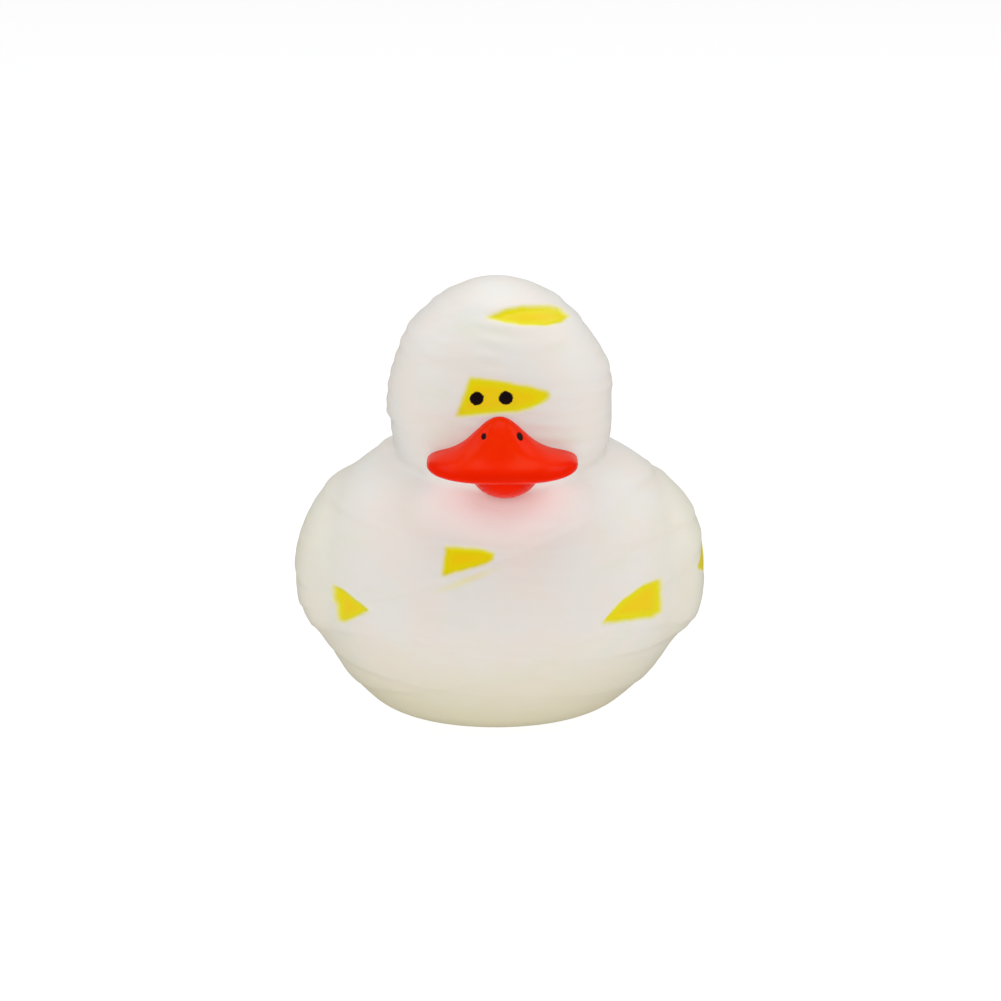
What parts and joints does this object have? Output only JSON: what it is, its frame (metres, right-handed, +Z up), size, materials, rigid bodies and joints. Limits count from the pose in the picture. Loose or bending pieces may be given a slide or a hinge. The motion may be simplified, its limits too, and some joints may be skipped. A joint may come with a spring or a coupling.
{
  "type": "rubber duck",
  "caption": "Hollow soft vinyl bath and desk duck with low bandage wraps, folded wings, upturned tail, broad bill and a squeaker pressed into its flat base",
  "frame": {"origin": "Centre of the flat base's plane, below the middle of the duck's width and length", "axes": "+Z up through the crown, the bill faces -Y, +X is to the right of a viewer who faces the bill"},
  "size_m": [0.0459, 0.0479, 0.0507],
  "materials": {
    "soft_vinyl": "satin",
    "squeaker_plastic": "gloss"
  },
  "bodies": {
    "root": {"duck_body": "soft_vinyl", "squeaker": "squeaker_plastic"}
  },
  "joints": []
}
